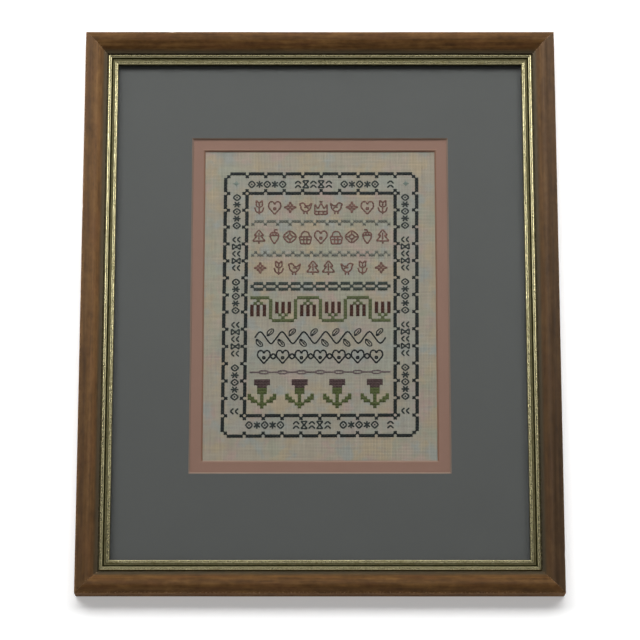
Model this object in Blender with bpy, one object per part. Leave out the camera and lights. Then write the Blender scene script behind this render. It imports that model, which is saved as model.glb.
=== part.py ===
"""Framed cross stitch sampler, lying on its back.

The frame is four mitred lengths of stained wood moulding. A gilt slip with two beads, mitred in the same way, sits
in the moulding's rebate and forms the sight edge. Behind the slip lie the glass, a grey mat, a rose under mat, the
stitched linen and a backing board, each a separate solid with a fine gap to its neighbours.

Units are metres. +X is to the viewer's right, +Y is to the top edge of the picture and +Z points out of its face.
The origin is the centre of the back, on the surface that the frame lies on.
"""
import math

import bmesh
import bpy

MM = 0.001

# Driving dimensions of the frame
FRAME_WIDTH = 276.5 * MM
FRAME_HEIGHT = 334.1 * MM
FIT_GAP = 0.3 * MM

# Moulding, measured inwards from its outer side and upwards from its back
MOULDING_WIDTH = 12.8 * MM
OUTER_SIDE_HEIGHT = 12.5 * MM
BACK_CHAMFER = 0.4 * MM
ARRIS_RADIUS = 0.7 * MM
CROWN_SLOPE = math.radians(20)
REBATE_START = 10.9 * MM
REBATE_HEIGHT = 9.1 * MM

# Knots of the moulding's face in millimetres, from the round of the outer edge, over the crown and into the cove
CROWN_KNOTS = (
    # inwards, height
    (1.92, 13.78),
    (3.39, 14.29),
    (4.86, 14.45),
    (6.53, 14.10),
    (8.32, 13.07),
    (10.11, 11.67),
    (11.01, 11.03),
    (11.84, 10.67),
    (12.48, 10.55),
)

# Gilt slip
SLIP_SIGHT_EDGE = 19.5 * MM
SLIP_FLANGE_THICKNESS = 1.0 * MM
OUTER_BEAD = {"centre": (14.54 * MM, 9.59 * MM), "radius": 1.34 * MM, "from": 175, "to": 8}
INNER_BEAD = {"centre": (18.22 * MM, 8.95 * MM), "radius": 1.28 * MM, "from": 132, "to": 0}
BEAD_GROOVE = (16.06 * MM, 9.46 * MM)
SHOULDER = ((16.35 * MM, 10.03 * MM), (17.12 * MM, 10.07 * MM))
FINE_LINE = (17.27 * MM, 9.81 * MM)

# What lies in the rebate, from the slip downwards
GLASS_THICKNESS = 2.0 * MM
MAT_THICKNESS = 0.9 * MM
LINEN_THICKNESS = 1.0 * MM
BOARD_THICKNESS = 1.2 * MM
BOARD_RECESS = 0.3 * MM

# Mat windows, at the upper surface of each mat, and how far each is raised above the middle of the frame
GREY_WINDOW = (150.2 * MM, 200.7 * MM)
ROSE_WINDOW = (136.2 * MM, 186.6 * MM)
WINDOW_RAISED = 3.2 * MM
LINEN_MARGIN = 25 * MM

ARC_STEP = math.radians(12)
KNOT_STEPS = 5

# The four sides of the frame: name, quarter turns from the bottom side, length and distance across
SIDES = (
    ("bottom", 0, FRAME_WIDTH, FRAME_HEIGHT),
    ("right", 1, FRAME_HEIGHT, FRAME_WIDTH),
    ("top", 2, FRAME_WIDTH, FRAME_HEIGHT),
    ("left", 3, FRAME_HEIGHT, FRAME_WIDTH),
)

# Material: colour with its opacity, roughness and metallic value
FINISHES = {
    "stained_wood": ((0.13, 0.065, 0.028, 1.0), 0.38, 0.0),
    "gilt": ((0.50, 0.42, 0.22, 1.0), 0.35, 0.9),
    "glass": ((0.85, 0.92, 0.90, 0.15), 0.03, 0.0),
    "grey_mat": ((0.11, 0.115, 0.11, 1.0), 0.9, 0.0),
    "rose_mat": ((0.30, 0.155, 0.125, 1.0), 0.9, 0.0),
    "linen": ((0.32, 0.27, 0.20, 1.0), 0.95, 0.0),
    "backing_board": ((0.22, 0.15, 0.09, 1.0), 0.9, 0.0),
}


def clear_scene():
    """Remove every object that the scene starts with."""
    for obj in list(bpy.data.objects):
        bpy.data.objects.remove(obj, do_unlink=True)


def finish(name):
    """One material of the FINISHES table."""
    colour, roughness, metallic = FINISHES[name]
    material = bpy.data.materials.new(name)
    material.use_nodes = True
    shader = material.node_tree.nodes["Principled BSDF"]
    shader.inputs["Base Color"].default_value = (*colour[:3], 1.0)
    shader.inputs["Alpha"].default_value = colour[3]
    shader.inputs["Roughness"].default_value = roughness
    shader.inputs["Metallic"].default_value = metallic
    material.diffuse_color = colour
    return material


def add_object(name, bm, material, parent):
    """An object made from a bmesh, with its faces turned outwards and its round faces shaded smooth."""
    bmesh.ops.recalc_face_normals(bm, faces=bm.faces)
    mesh = bpy.data.meshes.new(name)
    bm.to_mesh(mesh)
    bm.free()
    mesh.materials.append(material)
    mesh.shade_smooth()
    mesh.set_sharp_from_angle(angle=math.radians(30))
    obj = bpy.data.objects.new(name, mesh)
    bpy.context.collection.objects.link(obj)
    obj.parent = parent
    return obj


def arc(centre, radius, start, end):
    """Points of an arc in the section plane, with angles in radians."""
    steps = max(2, math.ceil(abs(end - start) / ARC_STEP))
    angles = [start + (end - start) * i / steps for i in range(steps + 1)]
    return [(centre[0] + radius * math.cos(a), centre[1] + radius * math.sin(a)) for a in angles]


def bead_arc(bead):
    """The round of one gilt bead."""
    return arc(bead["centre"], bead["radius"], math.radians(bead["from"]), math.radians(bead["to"]))


def smooth_through(knots):
    """A smooth curve through the knots. Each span is a cubic blend of four knots, and both ends are held."""
    held = [knots[0], *knots, knots[-1]]
    points = []
    for a, b, c, d in zip(held, held[1:], held[2:], held[3:]):
        for i in range(KNOT_STEPS):
            t = i / KNOT_STEPS
            weights = (
                (-t + 2 * t**2 - t**3) / 2,
                (2 - 5 * t**2 + 3 * t**3) / 2,
                (t + 4 * t**2 - 3 * t**3) / 2,
                (-(t**2) + t**3) / 2,
            )
            points.append(tuple(sum(w * p[k] for w, p in zip(weights, (a, b, c, d))) for k in range(2)))
    return points + [knots[-1]]


def moulding_section():
    """The moulding's closed outline: inwards from the outer side, and height above the back."""
    centre = (ARRIS_RADIUS, OUTER_SIDE_HEIGHT)
    arris = arc(centre, ARRIS_RADIUS, math.pi, math.pi / 2 + CROWN_SLOPE)
    knots = [(inwards * MM, height * MM) for inwards, height in CROWN_KNOTS]
    face = smooth_through([arris[-1], *knots])
    nose_radius = MOULDING_WIDTH - face[-1][0]
    nose = arc((face[-1][0], face[-1][1] - nose_radius), nose_radius, math.pi / 2, 0)
    back = [(REBATE_START, 0), (BACK_CHAMFER, 0), (0, BACK_CHAMFER)]
    rebate = [(MOULDING_WIDTH, REBATE_HEIGHT), (REBATE_START, REBATE_HEIGHT)]
    return arris[:-1] + face[:-1] + nose + rebate + back


def slip_section():
    """The slip's closed outline: a flange under the moulding's lip, the two beads and a flat back."""
    start = REBATE_START + FIT_GAP
    side = MOULDING_WIDTH + FIT_GAP
    flange_top = REBATE_HEIGHT - FIT_GAP
    base = flange_top - SLIP_FLANGE_THICKNESS
    flange = [(start, base), (start, flange_top), (side, flange_top)]
    beads = bead_arc(OUTER_BEAD) + [BEAD_GROOVE, *SHOULDER, FINE_LINE] + bead_arc(INNER_BEAD)
    return flange + beads + [(SLIP_SIGHT_EDGE, base)]


def mitred_length(name, section, turns, length, across, material, parent):
    """One side of the frame: the section at the left mitre, extruded and mirrored on to the right mitre."""
    set_back = FIT_GAP / 2 * math.sqrt(2)
    bm = bmesh.new()
    corners = [
        bm.verts.new((-length / 2 + inwards + set_back, -across / 2 + inwards, height))
        for inwards, height in section
    ]
    end = bm.faces.new(corners)
    extruded = bmesh.ops.extrude_face_region(bm, geom=[end], use_keep_orig=True)
    for vert in extruded["geom"]:
        if isinstance(vert, bmesh.types.BMVert):
            vert.co.x = -vert.co.x
    obj = add_object(name, bm, material, parent)
    obj.rotation_euler.z = turns * math.pi / 2
    return obj


def plate(name, size, middle, underside, thickness, material, parent):
    """A flat rectangular sheet."""
    bm = bmesh.new()
    bmesh.ops.create_cube(bm, size=1.0)
    bmesh.ops.scale(bm, verts=bm.verts, vec=(*size, thickness))
    obj = add_object(name, bm, material, parent)
    obj.location = (*middle, underside + thickness / 2)
    return obj


def ring_corners(bm, size, middle, height):
    """The four corners of a rectangle, anticlockwise from the lower left one."""
    signs = ((-1, -1), (1, -1), (1, 1), (-1, 1))
    return [
        bm.verts.new((middle[0] + sx * size[0] / 2, middle[1] + sy * size[1] / 2, height))
        for sx, sy in signs
    ]


def window_mat(name, size, window, middle, underside, material, parent):
    """A mat with a window whose edge is bevelled at 45 degrees towards the viewer."""
    top = underside + MAT_THICKNESS
    narrow = (window[0] - 2 * MAT_THICKNESS, window[1] - 2 * MAT_THICKNESS)
    bm = bmesh.new()
    rings = (
        ring_corners(bm, size, (0, 0), underside),
        ring_corners(bm, size, (0, 0), top),
        ring_corners(bm, window, middle, top),
        ring_corners(bm, narrow, middle, underside),
    )
    for near, far in zip(rings, rings[1:] + rings[:1]):
        for i in range(4):
            j = (i + 1) % 4
            bm.faces.new((near[i], near[j], far[j], far[i]))
    return add_object(name, bm, material, parent)


def build_frame(parent):
    """The four lengths of moulding and the four lengths of slip."""
    wood = finish("stained_wood")
    gilt = finish("gilt")
    for side, turns, length, across in SIDES:
        mitred_length(f"moulding_{side}", moulding_section(), turns, length, across, wood, parent)
        mitred_length(f"gilt_slip_{side}", slip_section(), turns, length, across, gilt, parent)


def build_contents(parent):
    """The flat pieces behind the slip, stacked from the glass down to the backing board."""
    inset = 2 * (REBATE_START + FIT_GAP)
    size = (FRAME_WIDTH - inset, FRAME_HEIGHT - inset)
    middle = (0, WINDOW_RAISED)
    glass = REBATE_HEIGHT - 2 * FIT_GAP - SLIP_FLANGE_THICKNESS - GLASS_THICKNESS
    grey = glass - FIT_GAP - MAT_THICKNESS
    rose = grey - FIT_GAP - MAT_THICKNESS
    linen = rose - FIT_GAP - LINEN_THICKNESS
    linen_size = (ROSE_WINDOW[0] + 2 * LINEN_MARGIN, ROSE_WINDOW[1] + 2 * LINEN_MARGIN)
    plate("glass_pane", size, (0, 0), glass, GLASS_THICKNESS, finish("glass"), parent)
    window_mat("mat_grey", size, GREY_WINDOW, middle, grey, finish("grey_mat"), parent)
    window_mat("mat_rose", size, ROSE_WINDOW, middle, rose, finish("rose_mat"), parent)
    plate("linen_cloth", linen_size, middle, linen, LINEN_THICKNESS, finish("linen"), parent)
    plate("backing_board", size, (0, 0), BOARD_RECESS, BOARD_THICKNESS, finish("backing_board"), parent)


def main():
    clear_scene()
    sampler = bpy.data.objects.new("sampler", None)
    bpy.context.collection.objects.link(sampler)
    build_frame(sampler)
    build_contents(sampler)


main()
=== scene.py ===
"""Framed cross stitch sampler: its moulding, gilt slip, glass, mats and linen, and all the stitching on it.

Units are metres. +X is to the viewer's right, +Y is to the top edge of the picture and +Z points out of its
face. The stitching is charted in threads of the linen. Columns count to the right and rows count down, both
from the upper left corner of the outer border. A cross stitch covers two threads by two.
"""
import math
from functools import partial

import bpy
import numpy as np
from bpy.props import FloatProperty, FloatVectorProperty, PointerProperty
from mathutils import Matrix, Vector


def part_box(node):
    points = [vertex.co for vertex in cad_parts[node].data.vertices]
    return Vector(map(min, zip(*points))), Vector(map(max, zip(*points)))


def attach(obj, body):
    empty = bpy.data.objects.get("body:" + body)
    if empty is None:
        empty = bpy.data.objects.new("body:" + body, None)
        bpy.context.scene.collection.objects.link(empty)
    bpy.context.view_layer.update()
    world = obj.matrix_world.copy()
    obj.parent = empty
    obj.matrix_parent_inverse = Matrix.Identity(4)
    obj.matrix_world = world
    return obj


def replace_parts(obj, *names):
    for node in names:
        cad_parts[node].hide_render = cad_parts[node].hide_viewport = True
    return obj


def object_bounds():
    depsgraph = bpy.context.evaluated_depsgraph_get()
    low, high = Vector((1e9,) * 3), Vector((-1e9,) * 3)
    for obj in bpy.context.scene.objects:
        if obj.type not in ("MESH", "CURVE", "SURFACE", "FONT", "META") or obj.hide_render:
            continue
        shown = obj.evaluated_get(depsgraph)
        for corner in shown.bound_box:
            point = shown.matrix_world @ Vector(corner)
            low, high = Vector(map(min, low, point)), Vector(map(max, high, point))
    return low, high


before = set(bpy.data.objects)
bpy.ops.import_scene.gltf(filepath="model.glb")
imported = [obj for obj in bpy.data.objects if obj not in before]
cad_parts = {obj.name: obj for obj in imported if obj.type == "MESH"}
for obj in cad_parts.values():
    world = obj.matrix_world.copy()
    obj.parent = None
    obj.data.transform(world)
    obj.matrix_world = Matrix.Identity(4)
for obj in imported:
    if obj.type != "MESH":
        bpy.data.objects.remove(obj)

bl_info = {
    "name": "Framed cross stitch sampler",
    "version": (1, 0, 0),
    "blender": (4, 5, 0),
    "location": "3D view, sidebar, Sampler",
    "description": "Makes the surfaces and the stitching of a framed cross stitch sampler",
    "category": "Mesh",
}

MM = 0.001
CAD_LOW, CAD_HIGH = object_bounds()
FRAME_WIDTH = CAD_HIGH.x - CAD_LOW.x
FRAME_HEIGHT = CAD_HIGH.y - CAD_LOW.y
LINEN_LOW, LINEN_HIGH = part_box("linen_cloth")
LINEN_TOP = LINEN_HIGH.z

# The four sides of the frame: name, quarter turns from the bottom side, length and distance across
SIDES = (
    ("bottom", 0, FRAME_WIDTH, FRAME_HEIGHT),
    ("right", 1, FRAME_HEIGHT, FRAME_WIDTH),
    ("top", 2, FRAME_WIDTH, FRAME_HEIGHT),
    ("left", 3, FRAME_HEIGHT, FRAME_WIDTH),
)

# Mitres: how far each length stops short of them, and how much and how far from them its end is eased
MITRE_SET_BACK = 0.03 * MM
MITRE_EASED = 0.03 * MM
MITRE_EASED_OVER = 0.20 * MM

# Stations along each length, how near its mitres a few more lie, and the longest step of an outline
STATIONS = 110
NEAR_MITRE = 2 * MM
OUTLINE_STEP = 1.6 * MM

# Moulding section, inwards from its outer side and upwards from its back
MOULDING_WIDTH = 12.8 * MM
OUTER_SIDE_HEIGHT = 12.5 * MM
BACK_CHAMFER = 0.4 * MM
ARRIS_RADIUS = 0.7 * MM
CROWN_SLOPE = 20
REBATE_START = 10.9 * MM
REBATE_HEIGHT = 9.1 * MM
FIT_GAP = 0.3 * MM
CROWN_KNOTS = MM * np.array((
    # inwards, height
    (1.92, 13.78),
    (3.39, 14.29),
    (4.86, 14.45),
    (6.53, 14.10),
    (8.32, 13.07),
    (10.11, 11.67),
    (11.01, 11.03),
    (11.84, 10.67),
    (12.48, 10.55),
))

# Where the moulding's finish changes: painted shade in the hollow beside the slip, matt outer side, rubbed
# arris and mitres
HOLLOW_SHADE_START = 9.8 * MM
HOLLOW_SHADE_REACH = 1.9 * MM
MATT_REACH = 0.6 * MM
MATT_LIGHTER = 0.7
ARRIS_RUBBED = 0.8
ARRIS_REACH = 0.9 * MM
ARRIS_DEPTH = 1.5 * MM
MITRE_RUBBED_REACH = 0.5 * MM
WOOD_WAVES = 0.035 * MM
# How far the grain is moved along from each length to the next
GRAIN_SHIFT = 0.37

# How light each length is at these places inwards: its stain, and painted light and shade that is lighter on
# slopes facing up the picture, towards its top edge. And how far it faded to grey
STAIN_AND_SHADE_PLACES = MM * np.array((1.0, 3.0, 5.0, 7.0, 9.0, 11.0, 12.8))
STAIN_AND_SHADE = {
    "bottom": (0.74, 0.74, 0.74, 0.90, 1.03, 0.92, 0.72),
    "right": (0.59, 0.63, 0.51, 0.83, 0.88, 0.86, 0.71),
    "top": (0.93, 0.76, 0.66, 0.78, 0.86, 0.66, 0.52),
    "left": (1.10, 0.88, 1.01, 1.43, 1.40, 1.00, 0.95),
}
FADED = {"bottom": 0.05, "right": 0.50, "top": 0.0, "left": 0.30}

# How many times lighter both uprights are at these shares of the frame's height
HEIGHT_SHARES = (0.0, 0.25, 0.5, 0.75, 1.0)
LIGHTER = {"left": (0.77, 0.80, 1.00, 1.10, 1.03), "right": (0.84, 0.86, 1.06, 1.25, 1.46)}

# Knocks in each side, in millimetres: along it from its middle, inwards, reach and depth
KNOCKS = {
    "bottom": (
        (-54.5, 0.3, 1.6, 0.32),
        (131.0, 0.2, 1.3, 0.40),
        (48.0, 2.0, 0.9, 0.10),
        (-118.0, 5.0, 0.8, 0.12),
    ),
    "right": ((-146.0, 0.6, 1.2, 0.25), (96.0, 6.5, 0.9, 0.10)),
    "top": ((88.0, 0.4, 1.4, 0.22),),
    "left": ((-60.0, 0.5, 1.0, 0.18), (120.0, 4.0, 0.8, 0.10)),
}

# Gilt slip section, with angles in degrees
SLIP_SIGHT_EDGE = 19.5 * MM
SLIP_FLANGE_THICKNESS = 1.0 * MM
OUTER_BEAD = {"centre": (14.54 * MM, 9.59 * MM), "radius": 1.34 * MM, "start": 175, "end": 8}
INNER_BEAD = {"centre": (18.22 * MM, 8.95 * MM), "radius": 1.28 * MM, "start": 132, "end": 0}
SLIP_GROOVES = MM * np.array(((16.06, 9.46), (16.35, 10.03), (17.12, 10.07), (17.27, 9.81)))
GILT_WAVES = 0.03 * MM

# The dark colour on the slip: painted shade where the outline faces up by less than a share, which is larger
# between the beads. Between them a dark wash also deepens below a height, and lies over the shoulder
FLANK_TILT = 0.62
BETWEEN_TILT = 0.97
TILT_RANGE = 0.30
WASH_HEIGHT = 9.95 * MM
WASH_DEPTH = 0.4 * MM
SHOULDER_MIDDLE = 16.8 * MM
SHOULDER_REACH = 0.7 * MM
SHOULDER_WASH = 0.70
OUTER_BEAD_WORN = 0.45

# Share of light that one face of picture glass mirrors when it is looked at head on
HEAD_ON = 0.04

# Flat pieces: how far their arrises are eased, and in how many steps each side of an outline is drawn
GLASS_EASED = 0.2 * MM
BOARD_EASED = 0.25 * MM
PLATE_STEPS = 24

# Mats
MAT_STEPS = 36
GREY_WINDOW = (150.2 * MM, 200.7 * MM)
ROSE_WINDOW = (136.2 * MM, 186.6 * MM)
WINDOW_MIDDLE = (0.0, 3.2 * MM)
WINDOW_EASED = 0.12 * MM
WINDOW_EASED_DROP = 0.35 * WINDOW_EASED
WINDOW_WAVER = 0.05 * MM
# The face along the top of each window, a painted highlight where its top edge catches the light: its colour
# as a share of the face's
TOP_EDGE_HIGHLIGHT = {"grey": (1.12, 1.05, 1.0), "rose": (1.20, 1.25, 1.18)}
TOP_EDGE_HIGHLIGHT_WIDTH = 0.55 * MM
# Painted light and shade on the cut bevels, lightest on the bottom side and darkest on the top: each side's
# colour as a share of its core's, in the order of SIDES
BEVEL_LIGHT_AND_SHADE = {
    "grey": ((1.0, 1.0, 1.0), (0.80, 0.80, 0.82), (0.58, 0.50, 0.45), (0.80, 0.80, 0.82)),
    "rose": ((1.25, 1.6, 1.9), (1.0, 1.0, 1.0), (0.75, 0.75, 0.75), (1.0, 1.0, 1.0)),
}

# The linen: points across and up, and the slow waves in which it lies
LINEN_POINTS = (120, 152)
LINEN_WAVES = (
    # height in millimetres, radians a metre to the right and up, radians at the start
    (0.030, 95, 22, 0.0),
    (0.026, -31, 120, 1.3),
    (0.018, 210, 170, 0.4),
)

# The chart of the stitching, in threads
CHART_COLUMNS = 126
CHART_ROWS = 186
NODE_STEP = 12
FIRST_NODE = 14
LAST_NODE_COLUMN = 110
LAST_NODE_ROW = 170
# Crosses in a bar of a border, and where the first bar beside a corner starts
BAR_CROSSES = 5
CORNER_BAR = 4

# Where the blue dye pooled, in threads: how deep, along the band between the borders and round one row
POOLED = 0.45
BAND_MIDDLE = 8
BAND_REACH = 6
POOL_ROW = 127
POOL_REACH = 18

# How far the lacing pulled the chart's corners, to the right and up: both upper ones, then both lower ones
LACED = (
    ((0.07 * MM, -0.27 * MM), (-0.20 * MM, -0.12 * MM)),
    ((-0.75 * MM, 0.11 * MM), (-1.20 * MM, 0.63 * MM)),
)

# A leg of thread: its sway, how its ends dive and thin out, and the reach of its rise over another leg
LEG_SWAY = 0.03 * MM
LEG_DIVE = 0.22 * MM
LEG_END = 0.45
LEG_CROSSING = 0.17
# Shares between which the legs' widths and heights lie, and the share of its height that an upper leg rises
LEG_WIDTHS = (0.93, 1.07)
LEG_HEIGHTS = (0.92, 1.08)
UPPER_LEG_RISE = 0.75
# Places along a leg, and its section as shares of half its width and half its height
LEG_PLACES = np.array((0.0, 0.10, 0.5, 0.90, 1.0))
TWO_LOBES = np.array((
    (1.0, 0.0), (0.62, 0.95), (0.0, 0.60), (-0.62, 0.95),
    (-1.0, 0.0), (-0.6, -0.9), (0.0, -0.9), (0.6, -0.9),
))
ONE_LOBE = np.array((
    (1.0, 0.0), (0.55, 0.85), (-0.55, 0.85),
    (-1.0, 0.0), (-0.5, -0.8), (0.5, -0.8),
))
# Corners of a cross stitch, in threads from its upper left hole and a little past the holes
CROSS_CORNERS = {
    "upper left": np.array((-0.04, -0.04)),
    "upper right": np.array((2.04, -0.04)),
    "lower left": np.array((-0.04, 2.04)),
    "lower right": np.array((2.04, 2.04)),
}
# How far a backstitch reaches past each of its holes, in threads
LINE_REACH = 0.09

# Line motifs. A semicolon parts the strokes, and a point is its column and row from the motif's corner
BAND_MOTIFS = {
    "lozenge": "2,0 4,2 4,3 2,5 0,3 0,2 2,0; 2,2 2,3",
    "star": "2,0 2,5; 0,1 4,4; 4,1 0,4",
    "hourglass": "0,0 4,0 0,5 4,5 0,0; 1,2.5 3,2.5",
    "chevrons": "0,2 2,0 4,2; 0,5 2,3 4,5",
    "gap": "",
}
BAND_REPEAT = (
    "lozenge", "star", "lozenge", "star", "lozenge", "gap",
    "chevrons", "hourglass", "chevrons", "hourglass", "chevrons", "gap",
)
BAND_PITCH = 5
BAND_HEIGHT = 5
BAND_EDGE = 6
CORNER_STAR = "2,0 2,4; 0,2 4,2; 1,1 3,3; 3,1 1,3"
CORNER_STAR_WIDTH = 4
SPOT_MOTIFS = {
    "heart": "4,3 3,1 1,1 0,3 0,5 4,10 8,5 8,3 7,1 5,1 4,3; 4,5 3,6 4,7 5,6 4,5",
    "tulip": "4,10 4,5 2,4 2,0 4,2 6,0 6,4 4,5; 4,9 2,8 1,5; 4,9 6,8 7,5; 4,2 4,4",
    "star": "4,1 5,4 8,5 5,6 4,9 3,6 0,5 3,4 4,1; 2,3 6,7; 6,3 2,7",
    "tree": "4,10 4,8; 4,0 1,4 3,4 0,8 8,8 5,4 7,4 4,0; 4,2 4,7",
    "bird": "0,3 1,2 3,2 4,4 6,4 8,2 7,6 5,8 3,8 1,6 1,4 0,3; 3,5 5,5 6,6; 3,8 3,10; 5,8 5,10",
    "crown": "0,8 8,8 8,10 0,10 0,8 0,3 2,6 4,2 6,6 8,3 8,8; 3,1 5,1; 2,9 3,9; 5,9 6,9",
    "acorn": "1,4 7,4 6,2 2,2 1,4 2,7 4,10 6,7 7,4; 4,2 4,0 6,0; 3,2 3,4; 5,2 5,4",
    "basket": "0,5 8,5 7,10 1,10 0,5; 1,5 2,2 4,1 6,2 7,5; 1,7 7,7; 3,5 3,10; 5,5 5,10",
    "rosette": (
        "3,1 5,1 8,4 8,6 5,9 3,9 0,6 0,4 3,1; 4,3 6,5 4,7 2,5 4,3; "
        "4,1 4,3; 8,5 6,5; 4,9 4,7; 0,5 2,5"
    ),
}
SPOT_WIDTH = 8
SPOT_ROWS = (
    # top row, step, motifs from the left end to the right, of which the last half is mirrored
    (20, 10, "tulip heart star bird crown bird star heart tulip"),
    (41, 10, "tree acorn rosette basket heart basket rosette acorn tree"),
    (63, 11, "star tulip bird tree tree bird tulip star"),
)
LINE_REPEATS = {
    # motif: its strokes, first column, row, step and times
    "vine": ("0,0 2,-3 3,-4 4,-4 5,-3 7,0 9,3 10,4 11,4 12,3 14,0", 21, 117, 14, 6),
    "vine_leaves": (
        "8,-1 8,-4 10,-6 12,-6 12,-4 10,-2 8,-1 11,-5; 1,1 1,4 3,6 5,6 5,4 3,2 1,1 4,5", 21, 117, 14, 6
    ),
    "hearts": ("4,2 3,0 1,0 0,2 0,4 4,9 8,4 8,2 7,0 5,0 4,2; 4,4 3,5 4,6 5,5 4,4", 23, 126, 12, 7),
    "diamonds": ("0,4 2,2 4,4 2,6 0,4", 31, 126, 12, 6),
    "lilac_links": ("0,0 6,0 7,-1 11,-1 12,0; 6,0 7,1 11,1 12,0", 18, 141, 12, 7),
    "lilac_end": ("0,0 6,0", 102, 141, 0, 1),
}
CROSS_REPEATS = {
    # piece: first column, row, crosses in a run, step and times of each kind of run
    "upper_divider": ((20, 34, 3, 8, 11), (18, 36, 1, 8, 12)),
    "middle_divider": ((22, 58, 2, 6, 14), (20, 56, 1, 6, 15), (18, 58, 1, 88, 2)),
    "chain": ((20, 78, 3, 8, 11), (20, 82, 3, 8, 11), (18, 80, 1, 8, 12)),
    "meander": ((18, 88, 6, 0, 1), (48, 88, 7, 32, 2), (32, 104, 7, 32, 2), (96, 104, 6, 0, 1)),
}
# The meander's uprights: their columns, first row and crosses
UPRIGHTS = (30, 46, 62, 78, 94)
UPRIGHT_ROW = 90
UPRIGHT_CROSSES = 7

# Motifs in whole crosses and their upper left corners: s stalk, p petal, d head, g cup and leaves
TULIP = (
    "..s..",
    ".s.s.",
    "p.p.p",
    "p.p.p",
    "p.p.p",
    "p.p.p",
)
HANGING_TULIPS = ((18, 90), (50, 90), (82, 90))
STANDING_TULIPS = ((34, 92), (66, 92), (98, 92))
THISTLE = (
    "..ddddd..",
    "..ddddd..",
    "...ddd...",
    "...ggg...",
    "...ggg...",
    "g...g...g",
    "gg..g..gg",
    ".gg.g.gg.",
    "...ggg...",
    "....g....",
)
THISTLES = ((17, 146), (41, 146), (65, 146), (89, 146))

# Stage: half a side of the floor and the points along one, the camera, and the soft lights
FLOOR_REACH = 4.0
FLOOR_POINTS = 9
CAMERA_PLACE = (0.0, -0.4071, 1.5800)
SENSOR_WIDTH = 36.0
LIGHTS = (
    # name, place, point that it faces, sides
    ("key", (-0.05, 0.76, 1.18), (0, 0, 0), (1.8, 0.7)),
    ("fill", (-0.1, -1.35, 1.75), (0, 0, 0), (1.2, 0.7)),
    ("left", (-1.1, 0.80, 1.25), (0, 0.80, 0), (0.8, 0.45)),
    ("right", (1.1, 0.80, 1.25), (0, 0.80, 0), (0.8, 0.45)),
    ("low", (0, 1.6, 0.62), (0, 0, 0), (1.2, 0.40)),
)
# How far a sky direction leans to the top edge where the glow starts and where it is full
GLOW_BETWEEN = (0.14, 0.36)
WHITE = (1.0, 1.0, 1.0, 1.0)


def screen(red, green, blue):
    """The linear colour of a screen colour: a power of 2.4 with a straight foot."""
    level = np.array((red, green, blue)) / 255
    return tuple(np.where(level <= 0.04045, level / 12.92, ((level + 0.055) / 1.055) ** 2.4).tolist())


def opaque(colour):
    """A colour of three numbers with its fourth, or a value as it is."""
    return colour if isinstance(colour, Value) else (*colour, 1.0)


def number(name, description, default, **limits):
    """A number that the panel shows, with its limits and its unit or subtype."""
    return FloatProperty(name=name, description=description, default=default, **limits)


size = partial(number, min=0.0, precision=5, unit="LENGTH")
place = partial(number, precision=5, unit="LENGTH")
share = partial(number, min=0.0, max=1.0, subtype="FACTOR")
power = partial(number, min=0.0, unit="POWER")


def tint(name, description, default):
    """A colour that the panel shows, kept linear."""
    return FloatVectorProperty(
        name=name, description=description, default=default, size=3, min=0.0, max=1.0, subtype="COLOR"
    )


class SamplerThreads(bpy.types.PropertyGroup):
    """Sizes and colours of the stitching."""

    cross_width: size("Cross leg width", "Width of one leg of a cross stitch", 1.12 * MM)
    cross_height: size("Cross leg height", "How far one leg stands up from the linen", 0.40 * MM)
    slim_width: size("Slim cross leg width", "Width of one leg of a cross stitch in one strand", 0.80 * MM)
    line_width: size("Line width", "Width of a backstitch in one strand", 0.70 * MM)
    line_height: size("Line height", "How far a backstitch in one strand stands up", 0.30 * MM)
    bold_width: size("Bold line width", "Width of a backstitch in two strands", 0.95 * MM)
    bold_height: size("Bold line height", "How far a backstitch in two strands stands up", 0.38 * MM)
    border: tint("Borders", "Thread of both stitched borders", screen(22, 30, 30))
    band: tint("Band", "Thread of the motifs between the borders", screen(38, 46, 45))
    spots: tint("Spot motifs", "Thread of the rose line motifs", screen(108, 76, 68))
    upper_divider: tint("Upper divider", "Thread of the first divider", screen(100, 101, 93))
    middle_divider: tint("Middle divider", "Thread of the second divider", screen(104, 105, 98))
    chain: tint("Chain", "Thread of the chain over the tulips", screen(53, 61, 57))
    meander: tint("Meander", "Thread of the stems between the tulips", screen(82, 90, 56))
    petals: tint("Petals", "Thread of the tulips", screen(60, 28, 18))
    navy: tint("Navy lines", "Thread of the vine and of the hearts", screen(16, 23, 26))
    lilac: tint("Lilac line", "Thread of the line over the thistles", screen(100, 86, 87))
    thistle_head: tint("Thistle heads", "Thread of the thistles' heads", screen(70, 52, 52))
    thistle_leaf: tint("Thistle leaves", "Thread of the thistles' cups and leaves", screen(74, 83, 43))
    corner_star: tint("Corner stars", "Thread of the two small stars", screen(112, 124, 116))


class SamplerCloth(bpy.types.PropertyGroup):
    """Sizes and colours of the linen."""

    thread_across: size("Thread spacing across", "From one upright thread to the next", 0.9055 * MM)
    thread_down: size("Thread spacing down", "From one level thread to the next", 0.8567 * MM)
    chart_left: place("Chart left", "Left side of the outer border", -56.26 * MM)
    chart_top: place("Chart top", "Top of the outer border", 83.45 * MM)
    natural: tint("Linen", "Colour of the linen between its pastel patches", (0.331, 0.294, 0.232))
    pink: tint("Pink patches", "Linen where the dye leans to pink", (0.370, 0.280, 0.242))
    blue: tint("Blue patches", "Linen where the dye leans to blue", (0.284, 0.298, 0.272))
    green: tint("Green patches", "Linen where the dye leans to green", (0.303, 0.300, 0.232))
    yellow: tint("Yellow patches", "Linen where the dye leans to yellow", (0.366, 0.300, 0.207))


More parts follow.
